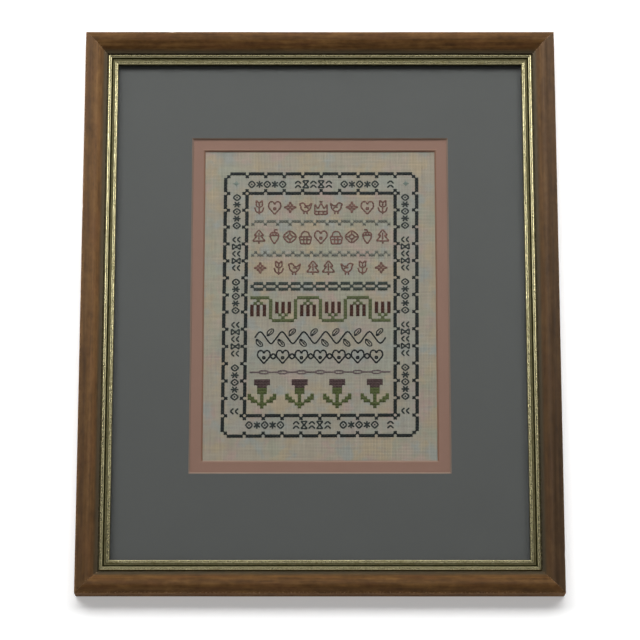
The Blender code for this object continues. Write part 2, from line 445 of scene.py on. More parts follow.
class SamplerFrameFinish(bpy.types.PropertyGroup):
    """Colours of the moulding, slip, mats, glass and board."""

    wood_dark: tint("Dark wood", "Stain in the pores and streaks", (0.052, 0.0222, 0.0046))
    wood_middle: tint("Middle wood", "Most of the stained wood", (0.105, 0.0482, 0.0120))
    wood_light: tint("Light wood", "The palest streaks", (0.160, 0.080, 0.0230))
    wood_ruddy: tint("Ruddy wood", "Patches where the stain leans to red", (0.115, 0.044, 0.0150))
    wood_grey: tint("Faded wood", "Wood that faded to grey", (0.085, 0.056, 0.034))
    # Painted shade in the hollow beside the slip
    wood_hollow: tint("Hollow", "Stain gathered in the hollow beside the slip", (0.049, 0.0445, 0.026))
    wood_bare: tint("Rubbed wood", "Where the stain is rubbed off", (0.36, 0.22, 0.115))
    gilt: tint("Gilt", "Sound gilding", (0.78, 0.71, 0.41))
    gilt_dull: tint("Dull gilt", "Rubbed and tarnished gilding", (0.24, 0.20, 0.075))
    # Colour of the dark wash in the grooves and of the painted shade on the slip's steep flanks
    gilt_wash_and_shade: tint("Groove", "Dark wash in the grooves", (0.040, 0.036, 0.006))
    glass: tint("Glass", "Light that passes the glass", (0.990, 0.995, 0.992))
    grey_mat: tint("Grey mat", "Face of the upper mat", (0.0935, 0.0960, 0.0940))
    grey_core: tint("Grey mat core", "Cut bevel of the upper mat", (0.27, 0.19, 0.145))
    rose_mat: tint("Rose mat", "Face of the under mat", (0.243, 0.144, 0.111))
    rose_core: tint("Rose mat core", "Cut bevel of the under mat", (0.22, 0.115, 0.075))
    board: tint("Backing board", "Plain brown board", (0.30, 0.20, 0.12))


class SamplerStage(bpy.types.PropertyGroup):
    """Floor, lights and camera."""

    floor: tint("Floor", "The pale floor and what lies beyond it", (0.93, 0.93, 0.93))
    key: power("Key light", "Soft light beyond the top edge", 22.0)
    fill: power("Fill light", "Soft light behind the camera", 2.8)
    left: power("Left light", "Soft light on the left", 6.3)
    right: power("Right light", "Soft light on the right", 6.2)
    low: power("Low light", "Strip of light low beyond the top edge", 2.4)
    glow: share("Glow", "Extra light from the sky beyond the top edge, which the glass mirrors", 0.13)
    ambient: share("Ambient light", "Light from overhead, and four times that from the walls", 0.035)
    lens: number("Lens", "Focal length on a 36 mm sensor", 158.0, min=1.0, unit="CAMERA")
    lean: number(
        "Lean", "From straight above, towards the bottom edge", math.radians(14.263), unit="ROTATION"
    )


class SamplerSettings(bpy.types.PropertyGroup):
    """All settings of the sampler."""

    threads: PointerProperty(type=SamplerThreads)
    cloth: PointerProperty(type=SamplerCloth)
    finish: PointerProperty(type=SamplerFrameFinish)
    stage: PointerProperty(type=SamplerStage)


class Value:
    """A socket of a node tree. Sums, products and the like with numbers and other values add Math nodes."""

    def __init__(self, nodes, socket):
        self.nodes = nodes
        self.socket = socket

    def of(self, operation, *others):
        """A Math operation on this value and any others, in their order."""
        links = dict(enumerate((self, *others)))
        return self.nodes.node("ShaderNodeMath", {"operation": operation}, links)

    def __add__(self, other):
        return self.of("ADD", other)

    def __sub__(self, other):
        return self.of("SUBTRACT", other)

    def __rsub__(self, other):
        return self.of("MULTIPLY_ADD", -1.0, other)

    def __mul__(self, other):
        return self.of("MULTIPLY", other)

    def __truediv__(self, other):
        return self.of("DIVIDE", other)

    def __pow__(self, other):
        return self.of("POWER", other)

    __radd__ = __add__
    __rmul__ = __mul__

    def between(self, low, high):
        """0 below low, 1 above high and a smooth step in between."""
        links = {"Value": self, "From Min": low, "From Max": high}
        return self.nodes.node("ShaderNodeMapRange", {"interpolation_type": "SMOOTHSTEP"}, links)


class Nodes:
    """A node tree that values and other nodes are added to."""

    def __init__(self, tree):
        self.tree = tree

    def feed(self, socket, value):
        """Links a value to a socket, or sets a constant on it."""
        if isinstance(value, Value):
            self.tree.links.new(value.socket, socket)
        else:
            socket.default_value = value

    def node(self, kind, settings=None, links=None, output=0):
        """Adds a node: first its settings, then what its sockets hold. Gives back one of its outputs."""
        made = self.tree.nodes.new(kind)
        for key, value in (settings or {}).items():
            if key == "stops":
                self.set_stops(made.color_ramp, value)
            else:
                setattr(made, key, value)
        for key, value in (links or {}).items():
            self.feed(made.inputs[key], value)
        return Value(self, made.outputs[output])

    @staticmethod
    def set_stops(ramp, stops):
        """A ramp's stops, each a position and a colour."""
        while len(ramp.elements) < len(stops):
            ramp.elements.new(1.0)
        for element, (position, colour) in zip(ramp.elements, stops):
            element.position = position
            element.color = opaque(colour)

    def axes(self, vector):
        """The three parts of a vector."""
        split = self.node("ShaderNodeSeparateXYZ", links={0: vector})
        return [Value(self, output) for output in split.socket.node.outputs]

    def vector(self, x, y, z=0.0):
        """A vector of three numbers or values."""
        return self.node("ShaderNodeCombineXYZ", links={0: x, 1: y, 2: z})

    def noise(self, where, scale, detail=2, roughness=0.6):
        """Smooth noise from 0 to 1."""
        links = {"Vector": where, "Scale": scale, "Detail": detail, "Roughness": roughness}
        return self.node("ShaderNodeTexNoise", {"noise_dimensions": "3D"}, links)

    def streaks(self, where, scales, detail=2, roughness=0.6):
        """Noise with a scale of its own along each axis."""
        stretched = self.node("ShaderNodeVectorMath", {"operation": "MULTIPLY"}, {0: where, 1: scales})
        return self.noise(stretched, 1, detail, roughness)

    def blend(self, factor, first, second):
        """A mix of two colours."""
        links = {0: factor, 6: opaque(first), 7: opaque(second)}
        return self.node("ShaderNodeMix", {"data_type": "RGBA"}, links, output=2)

    def shade(self, colour, factor):
        """A colour times a number that may be a value."""
        return self.node("ShaderNodeVectorMath", {"operation": "SCALE"}, {0: colour, "Scale": factor})


class Finish(Nodes):
    """A node-based material round one Principled shader."""

    def __init__(self, name, **constants):
        self.material = bpy.data.materials.new(name)
        self.material.use_nodes = True
        super().__init__(self.material.node_tree)
        self.shader = self.tree.nodes["Principled BSDF"]
        for key, value in constants.items():
            self.feed(self.shader.inputs[key.replace("_", " ")], value)

    def spot(self):
        """The place on the object, in metres."""
        return self.node("ShaderNodeTexCoord", output=3)

    def run(self):
        """The place on the surface from its UV map, in metres."""
        return self.node("ShaderNodeUVMap", {"uv_map": "run"})

    def attribute(self, name):
        """A number that the mesh carries."""
        return self.node("ShaderNodeAttribute", {"attribute_name": name}, output=2)

    def colour(self, value):
        """Feeds the base colour."""
        self.feed(self.shader.inputs["Base Color"], value)

    def roughness(self, value):
        """Feeds the roughness."""
        self.feed(self.shader.inputs["Roughness"], value)

    def relief(self, height, distance):
        """Bump that stands up by distance where height is 1."""
        bump = self.node("ShaderNodeBump", None, {"Height": height, "Distance": distance})
        self.feed(self.shader.inputs["Normal"], bump)


def wood_finish(settings):
    """Walnut-brown stain and satin varnish. Streaks and pores follow the length of the wood."""
    made = Finish("stained_wood", Coat_Weight=0.03, Coat_Roughness=0.3, Specular_IOR_Level=0.18)
    run = made.run()
    streak = made.streaks(run, (26, 620, 1), detail=3)
    mottle = made.streaks(run, (55, 150, 1), roughness=0.55)
    pores = made.streaks(run, (240, 3600, 1), detail=1, roughness=0.5).between(0.60, 0.70)
    chips = made.streaks(run, (900, 1500, 1)).between(0.52, 0.62)
    blotch = made.streaks(run, (170, 300, 1))
    tone = streak * 0.42 + mottle * 0.28 + blotch * 0.30
    stops = ((0.37, settings.wood_dark), (0.50, settings.wood_middle), (0.63, settings.wood_light))
    wood = made.node("ShaderNodeValToRGB", {"stops": stops}, {0: tone})
    ruddy = made.streaks(run, (38, 140, 1), roughness=0.5).between(0.48, 0.66)
    wood = made.blend(ruddy * 0.30, wood, made.shade(settings.wood_ruddy, 0.6 + tone * 0.8))
    wood = made.blend(pores * 0.55, wood, settings.wood_dark)
    wood = made.blend(made.attribute("faded"), wood, made.shade(settings.wood_grey, 0.6 + tone * 0.9))
    # Painted shade in the hollow beside the slip
    wood = made.blend(made.attribute("hollow") * 0.75, wood, settings.wood_hollow)
    wood = made.blend(made.attribute("rubbed") * chips * 0.8, wood, settings.wood_bare)
    # The stain number holds the stain and also painted light and shade
    made.colour(made.shade(wood, made.attribute("stain")))
    made.roughness(0.46 + pores * 0.2 + (mottle - 0.5) * 0.25 + made.attribute("matt") * 0.5)
    made.relief(streak * 0.6 - pores, 0.03 * MM)
    return made.material


def gilt_finish(settings):
    """Pale gilding on a smooth ground, dull and dark in the grooves with a wash and on steep flanks with
    painted shade, rubbed and specked on the beads.
    """
    made = Finish("gilt", Specular_IOR_Level=0.2)
    run = made.run()
    worn = made.attribute("worn")
    cloud = made.streaks(run, (70, 420, 1), detail=3)
    rub = made.streaks(run, (330, 900, 1), detail=3, roughness=0.65)
    fleck = made.streaks(run, (560, 1300, 1))
    specks = made.streaks(run, (900, 1300, 1), detail=1, roughness=0.5).between(0.66, 0.72)
    wear = (rub.between(0.52, 0.68) + fleck.between(0.50, 0.62)) * worn
    dull = (cloud.between(0.48, 0.70) * 0.4 + wear * 0.5).of("MINIMUM", 1.0)
    # The wash in the grooves and painted shade on the steep flanks
    dark = (made.attribute("groove") * 1.1 + specks * 0.3).of("MINIMUM", 1.0)
    leaf = made.blend(dull, settings.gilt, settings.gilt_dull)
    made.colour(made.blend(dark, leaf, settings.gilt_wash_and_shade))
    made.feed(made.shader.inputs["Metallic"], 0.99 - dull * 0.18 - dark * 0.3)
    made.roughness(0.20 + dull * 0.15 + dark * 0.25 + rub * 0.08)
    made.relief(1 - (rub + fleck) * worn - specks * 0.3, 0.08 * MM)
    return made.material


def glass_finish(settings):
    """Clear picture glass.

    Each face mirrors its head-on share, and of the rest the fifth power of the slant, from 0 head on to 1
    along the glass. What it doesn't mirror passes straight through.
    """
    made = Finish("glass")
    made.tree.nodes.remove(made.shader)
    clear = made.node("ShaderNodeBsdfTransparent", None, {"Color": opaque(settings.glass)})
    gloss = made.node("ShaderNodeBsdfGlossy", None, {"Color": WHITE, "Roughness": 0.02})
    slant = made.node("ShaderNodeLayerWeight", None, {"Blend": 0.5}, output=1)
    mirrored = slant ** 5 * (1 - HEAD_ON) + HEAD_ON
    both = made.node("ShaderNodeMixShader", None, {0: mirrored, 1: clear, 2: gloss})
    made.feed(made.tree.nodes["Material Output"].inputs["Surface"], both)
    return made.material


def paper_finish(name, colour):
    """Matte mat board: faint clouds, short fibres and a fine tooth."""
    made = Finish(name, Specular_IOR_Level=0.25)
    spot = made.spot()
    cloud = made.noise(spot, 28, roughness=0.5)
    fibre = made.streaks(spot, (1500, 420, 1500))
    tooth = made.noise(spot, 2600)
    made.colour(made.shade(colour, 0.93 + cloud * 0.06 + fibre * 0.05 + tooth * 0.05))
    made.roughness(0.86 + tooth * 0.1)
    made.relief(tooth * 0.7 + fibre * 0.3, 0.04 * MM)
    return made.material


def laced(column_share, row_share, axis):
    """How far a place on the chart was pulled, to the right for axis 0 and up for axis 1.

    The corners' pulls are blended across and then down, by shares of the chart: numbers or values.
    """
    upper, lower = (a[axis] + (b[axis] - a[axis]) * column_share for a, b in LACED)
    return upper + (lower - upper) * row_share


def linen_finish(cloth):
    """Evenweave linen.

    Upright and level threads pass over and under each other: each is a round ridge, the size of a sine
    across it, that rises and sinks with the sine of the other direction, and the higher one shows. Every
    thread has its own slubs, and soft patches of pastel dye lie over all, with blue also where it pooled.
    """
    made = Finish("linen", Sheen_Weight=0.08, Sheen_Roughness=0.5, Specular_IOR_Level=0.2)
    spot = made.spot()
    x, y, _ = made.axes(spot)
    shares = (
        (x - cloth.chart_left) / (cloth.thread_across * CHART_COLUMNS),
        (y - cloth.chart_top) / (-cloth.thread_down * CHART_ROWS),
    )
    column = (x - laced(*shares, 0) - cloth.chart_left) / cloth.thread_across
    row = (y - laced(*shares, 1) - cloth.chart_top) / cloth.thread_down
    across = (column * math.pi).of("SINE")
    down = (row * math.pi).of("SINE")
    over = across * down * 0.5
    upright = across.of("ABSOLUTE")
    level = down.of("ABSOLUTE")
    weave = (upright + over).of("MAXIMUM", level - over)
    upright_slub = made.noise(made.vector(column.of("FLOOR") * 3.7, y * 45.0), 1)
    level_slub = made.noise(made.vector(x * 45.0, row.of("FLOOR") * 3.7, 9.0), 1)
    slub = (upright_slub + level_slub - 1.0) * 0.36
    fuzz = made.noise(spot, 5200, detail=1, roughness=0.5)
    dyed = cloth.natural
    for count, dye in enumerate((cloth.pink, cloth.blue, cloth.green, cloth.yellow), 1):
        patch = made.noise(made.vector(x, y, 0.31 * count), 66, detail=3, roughness=0.62)
        dyed = made.blend(patch.between(0.49, 0.65) * 0.9, dyed, dye)
    dyed = made.blend(made.attribute("pooled"), dyed, cloth.blue)
    # Painted shade in the weave: the colour is darker in the holes between the threads and lighter where the
    # weave stands higher
    solid = upright.of("MAXIMUM", level).between(0.30, 0.72 - slub * 0.6)
    edge = weave.between(0.35, 1.0)
    made.colour(made.shade(dyed, 0.68 + slub + fuzz * 0.06 + solid * 0.15 + edge * 0.10))
    made.roughness(0.90)
    made.relief(weave * 0.75 + slub + fuzz * 0.12, 0.13 * MM)
    return made.material


def thread_finish(name, colour):
    """Stranded cotton: twisted plies cross the stitch at a slant, and each stitch has its own tone."""
    made = Finish(name, Sheen_Weight=0.12, Sheen_Roughness=0.4, Specular_IOR_Level=0.35)
    u, v, _ = made.axes(made.run())
    ply = (u * 5200.0 + v * 9.0).of("SINE") * 0.5 + 0.5
    fuzz = made.noise(made.spot(), 4200, detail=1, roughness=0.5)
    # The ply stripes in the colour are painted shade between the twisted plies
    made.colour(made.shade(colour, 0.70 + made.attribute("tone") * 0.36 + ply * 0.10 + fuzz * 0.10))
    made.roughness(0.62 + fuzz * 0.15)
    made.relief(ply * 0.8 + fuzz * 0.4, 0.04 * MM)
    return made.material


def board_finish(colour):
    """Brown board with flecks of its pulp."""
    made = Finish("backing_board", Specular_IOR_Level=0.2)
    spot = made.spot()
    pulp = made.streaks(spot, (420, 900, 900), detail=3)
    flecks = made.noise(spot, 1400, detail=1, roughness=0.5).between(0.64, 0.72)
    made.colour(made.shade(colour, 0.86 + pulp * 0.24 - flecks * 0.3))
    made.roughness(0.84 + pulp * 0.1)
    made.relief(pulp, 0.06 * MM)
    return made.material


def floor_finish(colour):
    """A plain pale table top, softly lit from within, with a faint grain."""
    made = Finish("floor", Specular_IOR_Level=0.1, Emission_Color=WHITE, Emission_Strength=0.3)
    grain = made.noise(made.spot(), 900, roughness=0.5)
    made.colour(made.shade(colour, 0.99 + grain * 0.02))
    made.roughness(0.92)
    return made.material


def add_object(name, data):
    """A new object of the scene, at its origin."""
    made = bpy.data.objects.new(name, data)
    bpy.context.collection.objects.link(made)
    return made


def make_piece(name, points, faces, materials, corners=None, numbers=None, angle=30, kinds=None):
    """A mesh object whose place is in its points.

    corners is the UV place of each face corner in the order of the faces, numbers holds named values for
    each point, kinds is the place of each face's material in materials, and edges sharper than angle stay
    sharp.
    """
    mesh = bpy.data.meshes.new(name)
    mesh.from_pydata(points.reshape(-1, 3), [], faces)
    for material in materials:
        mesh.materials.append(material)
    if kinds is not None:
        mesh.polygons.foreach_set("material_index", kinds)
    if corners is not None:
        mesh.uv_layers.new(name="run").data.foreach_set("uv", np.asarray(corners, np.float32).ravel())
    for key, values in (numbers or {}).items():
        data = mesh.attributes.new(key, "FLOAT", "POINT").data
        data.foreach_set("value", np.asarray(values, np.float32).ravel())
    mesh.shade_smooth()
    mesh.set_sharp_from_angle(angle=math.radians(angle))
    mesh.validate()
    mesh.update()
    piece = add_object(name, mesh)
    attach(piece, "root")
    return piece


def tube_corners(rings, around):
    """Rings and columns of the four corners of each quad of a tube. Columns run on past the seam."""
    ring, column = np.meshgrid(np.arange(rings - 1), np.arange(around), indexing="ij")
    rings_at = np.stack((ring, ring, ring + 1, ring + 1), -1).reshape(-1, 4)
    columns_at = np.stack((column, column + 1, column + 1, column), -1).reshape(-1, 4)
    return rings_at, columns_at


def grid(x_places, y_places):
    """A level grid: its points' x and y, row by row, and its quads."""
    x, y = np.meshgrid(x_places, y_places)
    index = np.arange(x.size).reshape(x.shape)
    quads = np.stack((index[:-1, :-1], index[:-1, 1:], index[1:, 1:], index[1:, :-1]), -1)
    return x, y, quads.reshape(-1, 4).tolist()


def soft_noise(values, seed, waves=5, slowest=18.0):
    """Smooth noise, about -1 to 1, along a length: a sum of sines, each quicker and weaker than the last."""
    rng = np.random.default_rng(seed)
    phases = rng.uniform(0, 2 * math.pi, waves)
    steps = slowest * 1.9 ** np.arange(waves)
    sines = np.sin(np.multiply.outer(values, steps) + phases) / (1.0 + np.arange(waves))
    return sines.sum(-1) / 1.6


def arc(centre, radius, start, end, step=7):
    """A circle's arc: the centre plus the radius times cosine and sine of angles in degrees."""
    count = max(3, math.ceil(abs(end - start) / step) + 1)
    angles = np.radians(np.linspace(start, end, count))
    return np.array(centre) + radius * np.column_stack((np.cos(angles), np.sin(angles)))


def smooth_through(knots, steps=7):
    """A smooth curve through the knots. Each span is a cubic blend of four knots, and both ends are held."""
    held = np.vstack((knots[:1], knots, knots[-1:]))
    t = np.linspace(0, 1, steps, endpoint=False)[:, None]
    weights = (
        (-t + 2 * t**2 - t**3) / 2,
        (2 - 5 * t**2 + 3 * t**3) / 2,
        (t + 4 * t**2 - 3 * t**3) / 2,
        (t**3 - t**2) / 2,
    )
    spans = sum(weight[None] * held[k:len(held) - 3 + k, None] for k, weight in enumerate(weights))
    return np.vstack((spans.reshape(-1, 2), knots[-1:]))


def split_long(points):
    """A closed outline with its long sides split into equal steps."""
    following = np.roll(points, -1, axis=0)
    counts = np.ceil(np.linalg.norm(following - points, axis=1) / OUTLINE_STEP)
    counts = np.maximum(1, counts).astype(int)
    starts = np.repeat(points, counts, axis=0)
    ends = np.repeat(following, counts, axis=0)
    first = np.repeat(np.cumsum(counts) - counts, counts)
    part = (np.arange(counts.sum()) - first) / np.repeat(counts, counts)
    return starts + (ends - starts) * part[:, None]


def moulding_section():
    """The moulding's closed outline, from the outer side's top over the crown and round the back."""
    arris = arc((ARRIS_RADIUS, OUTER_SIDE_HEIGHT), ARRIS_RADIUS, 180, 90 + CROWN_SLOPE, 12)
    face = smooth_through(np.vstack((arris[-1:], CROWN_KNOTS)))
    nose_radius = MOULDING_WIDTH - face[-1, 0]
    nose = arc((face[-1, 0], face[-1, 1] - nose_radius), nose_radius, 90, 0, 18)
    back = np.array((
        (MOULDING_WIDTH, REBATE_HEIGHT),
        (REBATE_START, REBATE_HEIGHT),
        (REBATE_START, 0),
        (BACK_CHAMFER, 0),
        (0, BACK_CHAMFER),
    ))
    return split_long(np.vstack((arris[:-1], face[:-1], nose, back)))


def slip_section():
    """The slip's closed outline: a flange under the lip, two beads with grooves between, and a flat back."""
    start = REBATE_START + FIT_GAP
    side = MOULDING_WIDTH + FIT_GAP
    flange_top = REBATE_HEIGHT - FIT_GAP
    base = flange_top - SLIP_FLANGE_THICKNESS
    flange = np.array(((start, base), (start, flange_top), (side, flange_top)))
    sight_edge = ((SLIP_SIGHT_EDGE, base),)
    return split_long(np.vstack((flange, arc(**OUTER_BEAD), SLIP_GROOVES, arc(**INNER_BEAD), sight_edge)))


def outward(section):
    """Unit vectors that point out of a closed outline whose points go clockwise."""
    along = np.roll(section, -1, axis=0) - np.roll(section, 1, axis=0)
    along /= np.maximum(np.linalg.norm(along, axis=1), 1e-9)[:, None]
    return np.column_stack((-along[:, 1], along[:, 0]))


def stations(length):
    """Places from -1 to 1 along a length, with a few more close to both mitres."""
    middle = np.linspace(-1, 1, STATIONS)[1:-1]
    close = 1 - np.array((0.0, 0.25, 0.6, 1.2, 2.4)) * (NEAR_MITRE / length)
    return np.concatenate((-close, middle[np.abs(middle) < close[-1]], close[::-1]))


def run_along(section, length):
    """How far each point of a mitred length lies from its middle.

    It is its station, from -1 to 1, times its own half length: half the length less its distance inwards.
    """
    half = length / 2 - MITRE_SET_BACK * math.sqrt(2) - section[:, 0]
    return stations(length)[:, None] * half


def mitred_length(section, turns, length, across, push):
    """One side of the frame: a profile carried from mitre to mitre.

    push moves each point out of or into the section first. A point then lies its station times its own half
    length from the middle, so the ends are mitred, and quarter turns bring the length to its side of the
    frame. The section goes clockwise, so its faces run backwards to point out. Gives the points, the faces
    and their corners' UV.
    """
    inwards, height = section.T
    along = stations(length)
    run = run_along(section, length)
    reach = length / 2 - MITRE_SET_BACK * math.sqrt(2)
    normal = outward(section)
    ending = reach - inwards - np.abs(run)
    moved = push - MITRE_EASED * np.exp(-ending / MITRE_EASED_OVER)
    moved_inwards = inwards + normal[:, 0] * moved
    x = along[:, None] * (reach - moved_inwards)
    y = moved_inwards - across / 2
    z = np.maximum(height + normal[:, 1] * moved, 0.0)
    cosine, sine = round(math.cos(turns * math.pi / 2)), round(math.sin(turns * math.pi / 2))
    points = np.stack((x * cosine - y * sine, x * sine + y * cosine, z), -1)
    around = len(section)
    rings_at, columns_at = (corner[:, ::-1] for corner in tube_corners(len(along), around))
    faces = (rings_at * around + columns_at % around).tolist()
    steps = np.linalg.norm(np.roll(section, -1, axis=0) - section, axis=1)
    girth = np.concatenate(((0.0,), np.cumsum(steps)))
    shift = GRAIN_SHIFT * turns
    u = run[rings_at, columns_at % around] + shift
    corners = np.stack((u, girth[columns_at]), -1).reshape(-1, 2)
    first = list(range(around))
    last = list(range((len(along) - 1) * around, len(along) * around))[::-1]
    end = section + shift
    return points, faces + [first, last], np.vstack((corners, end, end[::-1]))


def wood_unevenness(section, name, turns, run):
    """How far the wood stands proud of its section: slow waves along it, less the pit of each knock.

    A pit is its depth times the exponential of less the square of the distance over its reach.
    """
    push = WOOD_WAVES * soft_noise(run[:, :1] + section[:, 0] * 2, 11 + turns)
    for middle, inwards, reach, depth in MM * np.array(KNOCKS[name]):
        away = np.hypot(run - middle, section[:, 0] - inwards)
        push = push - depth * np.exp(-((away / reach) ** 2)) * (section[:, 1] > REBATE_HEIGHT)
    return push


def wood_numbers(section, name, length, points):
    """What the moulding's finish reads at each point.

    hollow, painted shade, grows across the hollow beside the slip, and matt fades inwards from the outer
    side. rubbed is the exponential of less the square of the distance from the outer side, along the arris,
    or of less the distance from a mitre, whichever is more. stain is how light the wood is at its place
    inwards, its stain together with painted light and shade, times how much lighter an upright is at its
    height.
    """
    inwards, height = section.T
    half = length / 2 - inwards
    ending = half - np.abs(stations(length)[:, None] * half)
    arris = np.exp(-((inwards / ARRIS_REACH) ** 2)) * (height > OUTER_SIDE_HEIGHT - ARRIS_DEPTH)
    mitre = np.exp(-ending / MITRE_RUBBED_REACH) * (height > REBATE_HEIGHT)
    matt = np.clip(1 - inwards / MATT_REACH, 0, 1)
    # The stain across each length also holds painted light and shade
    stain = np.interp(inwards, STAIN_AND_SHADE_PLACES, STAIN_AND_SHADE[name]) * (1 + matt * MATT_LIGHTER)
    if name in LIGHTER:
        stain = stain * np.interp(points[..., 1] / FRAME_HEIGHT + 0.5, HEIGHT_SHARES, LIGHTER[name])
    numbers = {
        "rubbed": np.maximum(arris * ARRIS_RUBBED, mitre),
        # painted shade in the hollow beside the slip
        "hollow": np.clip((inwards - HOLLOW_SHADE_START) / HOLLOW_SHADE_REACH, 0, 1),
        "stain": stain,
        "faded": FADED[name],
        "matt": matt,
    }
    return {key: np.broadcast_to(values, points.shape[:2]) for key, values in numbers.items()}


def wash_and_flank_shade(section):
    """How dark the slip is painted along its outline, from 0 to 1: the most of three shares.

    The first, painted shade, grows as the outline tilts away from facing up. Between the beads the second,
    a dark wash, grows downwards, and the third, the same wash, lies evenly over the shoulder.
    """
    inwards, height = section.T
    flank = (inwards < OUTER_BEAD["centre"][0]) | (inwards > INNER_BEAD["centre"][0])
    # Painted shade: darker where the outline tilts away from facing up
    steep = np.clip((np.where(flank, FLANK_TILT, BETWEEN_TILT) - outward(section)[:, 1]) / TILT_RANGE, 0, 1)
    low = np.where(flank, 0, np.clip((WASH_HEIGHT - height) / WASH_DEPTH, 0, 1))
    shoulder = SHOULDER_WASH * (np.abs(inwards - SHOULDER_MIDDLE) < SHOULDER_REACH)
    return np.maximum(np.maximum(steep, low), shoulder)


class SAMPLER_OT_moulding(bpy.types.Operator):
    """Make the four mitred lengths of stained wood moulding"""

    bl_idname = "sampler.moulding"
    bl_label = "Moulding"

    def execute(self, context):
        material = wood_finish(context.scene.sampler.finish)
        section = moulding_section()
        for name, turns, length, across in SIDES:
            push = wood_unevenness(section, name, turns, run_along(section, length))
            points, faces, corners = mitred_length(section, turns, length, across, push)
            numbers = wood_numbers(section, name, length, points)
            piece = make_piece(f"wood_{name}", points, faces, [material], corners, numbers)
            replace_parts(piece, f"moulding_{name}")
        return {"FINISHED"}


class SAMPLER_OT_gilt_slip(bpy.types.Operator):
    """Make the four mitred lengths of beaded gilt slip"""

    bl_idname = "sampler.gilt_slip"
    bl_label = "Gilt slip"

    def execute(self, context):
        material = gilt_finish(context.scene.sampler.finish)
        section = slip_section()
        worn = np.where(section[:, 0] > SLIP_GROOVES[0, 0], 1.0, OUTER_BEAD_WORN)
        groove = wash_and_flank_shade(section)
        for name, turns, length, across in SIDES:
            wave = run_along(section, length)[:, :1] + section[:, 0] * 3
            push = GILT_WAVES * soft_noise(wave, 31 + turns, waves=6, slowest=30.0)
            points, faces, corners = mitred_length(section, turns, length, across, push)
            shape = points.shape[:2]
            numbers = {"groove": np.broadcast_to(groove, shape), "worn": np.broadcast_to(worn, shape)}
            piece = make_piece(f"slip_{name}", points, faces, [material], corners, numbers)
            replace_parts(piece, f"gilt_slip_{name}")
        return {"FINISHED"}


def rectangle(extent, middle, height, steps):
    """A rectangle's outline as one ring: each side from corner to corner in equal steps, anticlockwise."""
    signs = np.array(((-1, -1), (1, -1), (1, 1), (-1, 1), (-1, -1)))
    part = np.linspace(0, 1, steps, endpoint=False)[:, None]
    flat = np.concatenate([a + (b - a) * part for a, b in zip(signs, signs[1:])])
    return np.column_stack((np.array(middle) + flat * np.array(extent) / 2, np.full(len(flat), height)))


def ring_faces(rings, around, closed):
    """Quads between rings, and between the last and the first where the section closes."""
    pairs = np.arange(rings if closed else rings - 1)
    ring, column = np.meshgrid(pairs, np.arange(around), indexing="ij")
    after = (ring + 1) % rings * around
    ring = ring * around
    beside = (column + 1) % around
    quads = np.stack((ring + column, ring + beside, after + beside, after + column), -1)
    return quads.reshape(-1, 4).tolist()


def plate(low, high, eased):
    """A flat plate with eased arrises: rings go from the underside out, up and in again."""
    extent = np.array((high.x - low.x, high.y - low.y))
    middle = ((high.x + low.x) / 2, (high.y + low.y) / 2)
    rings = (
        rectangle(extent - 2 * eased, middle, low.z, PLATE_STEPS),
        rectangle(extent, middle, low.z + eased, PLATE_STEPS),
        rectangle(extent, middle, high.z - eased, PLATE_STEPS),
        rectangle(extent - 2 * eased, middle, high.z, PLATE_STEPS),
    )
    around = len(rings[0])
    under = list(range(around))[::-1]
    upper = list(range(3 * around, 4 * around))
    return np.stack(rings), ring_faces(len(rings), around, False) + [under, upper]


class SAMPLER_OT_glass(bpy.types.Operator):
    """Make the picture glass with its ground edges"""

    bl_idname = "sampler.glass"
    bl_label = "Glass"

    def execute(self, context):
        points, faces = plate(*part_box("glass_pane"), GLASS_EASED)
        material = glass_finish(context.scene.sampler.finish)
        piece = make_piece("picture_glass", points, faces, [material])
        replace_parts(piece, "glass_pane")
        return {"FINISHED"}


def window_mat(name, window, face, core):
    """A mat: a closed section carried round its window.

    The section goes over the outer edge, the face, the line of painted highlight and the eased arris, down
    the cut bevel, which has painted light and shade of its own on each side, and back along the underside.
    The window's uprights waver a little.
    """
    low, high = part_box(f"mat_{name}")
    outer = (high.x - low.x, high.y - low.y)
    window = np.array(window)
    foot = window - 2 * (high.z - low.z - WINDOW_EASED_DROP)
    rings = [
        rectangle(outer, (0, 0), low.z, MAT_STEPS),
        rectangle(outer, (0, 0), high.z, MAT_STEPS),
        rectangle(window + 2 * TOP_EDGE_HIGHLIGHT_WIDTH, WINDOW_MIDDLE, high.z, MAT_STEPS),
        rectangle(window + 2 * WINDOW_EASED, WINDOW_MIDDLE, high.z, MAT_STEPS),
        rectangle(window, WINDOW_MIDDLE, high.z - WINDOW_EASED_DROP, MAT_STEPS),
        rectangle(foot, WINDOW_MIDDLE, low.z, MAT_STEPS),
    ]
    around = len(rings[0])
    waver = WINDOW_WAVER * soft_noise(np.arange(around) / around * 6.0, 5, waves=4, slowest=9.0)
    for ring in rings[2:]:
        ring[:, 0] += waver * np.sign(ring[:, 0])
    side = np.arange(around) // MAT_STEPS
    kinds = np.zeros((len(rings), around), int)
    # Painted highlight along the top side of each window
    kinds[2:4] = np.where(side == 2, 1, 0)
    # Each side of the bevel takes its own copy of the core, with its own painted light and shade
    kinds[4] = 2 + side
    top_highlight = tuple(np.array(face) * TOP_EDGE_HIGHLIGHT[name])
    materials = [paper_finish(f"{name}_mat", face), paper_finish(f"{name}_mat_burnished", top_highlight)]
    # Copies of the core, each painted with the light and shade of its side
    for row, tone in zip(SIDES, BEVEL_LIGHT_AND_SHADE[name]):
        materials.append(paper_finish(f"{name}_mat_bevel_{row[0]}", tuple(np.array(core) * tone)))
    faces = ring_faces(len(rings), around, True)
    return make_piece(
        f"{name}_window_mat", np.stack(rings), faces, materials, kinds=kinds.ravel()
    )


